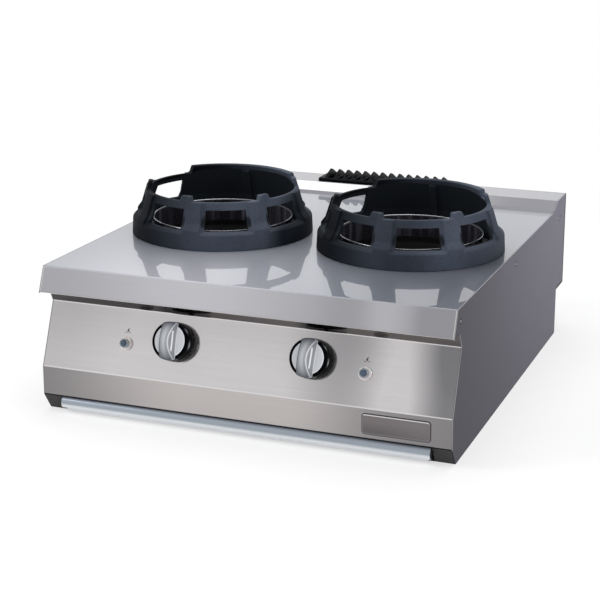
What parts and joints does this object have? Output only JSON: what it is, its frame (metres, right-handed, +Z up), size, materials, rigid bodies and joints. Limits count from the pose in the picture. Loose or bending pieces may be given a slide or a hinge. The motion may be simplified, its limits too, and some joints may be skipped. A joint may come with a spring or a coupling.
{
  "type": "wok range",
  "caption": "Bench-top gas wok range with cast wok rings, sloping control panel with knobs and piezo buttons, rear flue grille and pull-out drip tray.",
  "frame": {"origin": "on the floor, under the middle of the casing from the fascia's lip to its back", "axes": "+X to the right seen from the front, +Y to the rear, +Z up"},
  "size_m": [0.8, 0.9105, 0.3873],
  "materials": {
    "side_steel": "brushed, satin",
    "front_steel": "brushed along its length",
    "worktop_steel": "smooth satin with clear reflections",
    "badge_steel": "fine brushed, bare",
    "collar_steel": "polished",
    "tray_steel": "polished, bluish",
    "galvanised": "dull grey-brown",
    "cast_iron": "matt blue-grey, fine cast grain",
    "cast_iron_dark": "matt, cast",
    "black_enamel": "black enamel",
    "grille_enamel": "gloss black enamel over castings",
    "knob_black": "gloss",
    "knob_silver": "fine satin",
    "button_blue": "gloss",
    "clear_plastic": "milky clear",
    "brass": "machined",
    "brass_cap": "heat-darkened",
    "copper": "drawn, dull",
    "ceramic": "glazed",
    "lead_jacket": "matt",
    "painted_pipe": "zinc grey"
  },
  "bodies": {
    "root": {"side_panel_left": "side_steel", "burner_collar_left": "collar_steel", "burner_bowl_left": "black_enamel", "burner_body_left": "cast_iron_dark", "mixing_tube_left": "cast_iron_dark", "injector_left": "brass", "pilot_burner_left": "brass", "pilot_tube_left": "copper", "thermocouple_left": "copper", "spark_electrode_left": "ceramic", "ignition_lead_left": "lead_jacket", "gas_tap_left": "brass", "supply_tube_left": "copper", "piezo_housing_left": "clear_plastic", "tray_runner_left": "galvanised", "side_panel_right": "side_steel", "burner_collar_right": "collar_steel", "burner_bowl_right": "black_enamel", "burner_body_right": "cast_iron_dark", "mixing_tube_right": "cast_iron_dark", "injector_right": "brass", "pilot_burner_right": "brass", "pilot_tube_right": "copper", "thermocouple_right": "copper", "spark_electrode_right": "ceramic", "ignition_lead_right": "lead_jacket", "gas_tap_right": "brass", "supply_tube_right": "copper", "piezo_housing_right": "clear_plastic", "tray_runner_right": "galvanised", "base_pan": "galvanised", "rear_panel": "galvanised", "worktop": "worktop_steel", "control_panel": "front_steel", "badge_plate": "badge_steel", "flue_duct": "galvanised", "burner_rail_front": "galvanised", "burner_rail_rear": "galvanised", "gas_manifold": "painted_pipe", "gas_inlet": "brass"},
    "wok_ring_left": {"wok_ring_left": "cast_iron"},
    "burner_cap_left": {"burner_cap_left": "brass_cap"},
    "push_rod_left": {"push_rod_left": "brass"},
    "knob_left": {"knob_left": "knob_black", "knob_face_left": "knob_silver", "tap_spindle_left": "brass"},
    "piezo_button_left": {"piezo_button_left": "button_blue"},
    "wok_ring_right": {"wok_ring_right": "cast_iron"},
    "burner_cap_right": {"burner_cap_right": "brass_cap"},
    "push_rod_right": {"push_rod_right": "brass"},
    "knob_right": {"knob_right": "knob_black", "knob_face_right": "knob_silver", "tap_spindle_right": "brass"},
    "piezo_button_right": {"piezo_button_right": "button_blue"},
    "flue_grille": {"flue_grille": "grille_enamel"},
    "drip_tray": {"drip_tray": "tray_steel"}
  },
  "joints": [
    {"name": "wok_ring_left_lift", "type": "slide", "parent": "root", "child": "wok_ring_left", "axis": [0, 0, 1], "range_m": [0, 0.15]},
    {"name": "burner_cap_left_lift", "type": "slide", "parent": "root", "child": "burner_cap_left", "axis": [0, 0, 1], "range_m": [0, 0.12]},
    {"name": "knob_left_push", "type": "slide", "parent": "root", "child": "push_rod_left", "axis": [0, 0.9301, -0.3673], "range_m": [0, 0.0025], "stiffness_N_per_m": 1500, "springref_m": -0.004},
    {"name": "knob_left_turn", "type": "hinge", "parent": "push_rod_left", "child": "knob_left", "pos_m": [-0.134, -0.41823, 0.15906], "axis": [0, -0.9301, 0.3673], "range_deg": [0, 180]},
    {"name": "piezo_left_press", "type": "slide", "parent": "root", "child": "piezo_button_left", "axis": [0, 0.9301, -0.3673], "range_m": [0, 0.003], "stiffness_N_per_m": 2000, "springref_m": -0.003},
    {"name": "wok_ring_right_lift", "type": "slide", "parent": "root", "child": "wok_ring_right", "axis": [0, 0, 1], "range_m": [0, 0.15]},
    {"name": "burner_cap_right_lift", "type": "slide", "parent": "root", "child": "burner_cap_right", "axis": [0, 0, 1], "range_m": [0, 0.12]},
    {"name": "knob_right_push", "type": "slide", "parent": "root", "child": "push_rod_right", "axis": [0, 0.9301, -0.3673], "range_m": [0, 0.0025], "stiffness_N_per_m": 1500, "springref_m": -0.004},
    {"name": "knob_right_turn", "type": "hinge", "parent": "push_rod_right", "child": "knob_right", "pos_m": [0.134, -0.41823, 0.15906], "axis": [0, -0.9301, 0.3673], "range_deg": [0, 180]},
    {"name": "piezo_right_press", "type": "slide", "parent": "root", "child": "piezo_button_right", "axis": [0, 0.9301, -0.3673], "range_m": [0, 0.003], "stiffness_N_per_m": 2000, "springref_m": -0.003},
    {"name": "flue_grille_lift", "type": "slide", "parent": "root", "child": "flue_grille", "axis": [0, 0, 1], "range_m": [0, 0.06]},
    {"name": "drip_tray_slide", "type": "slide", "parent": "root", "child": "drip_tray", "axis": [0, -1, 0], "range_m": [0, 0.6]}
  ]
}
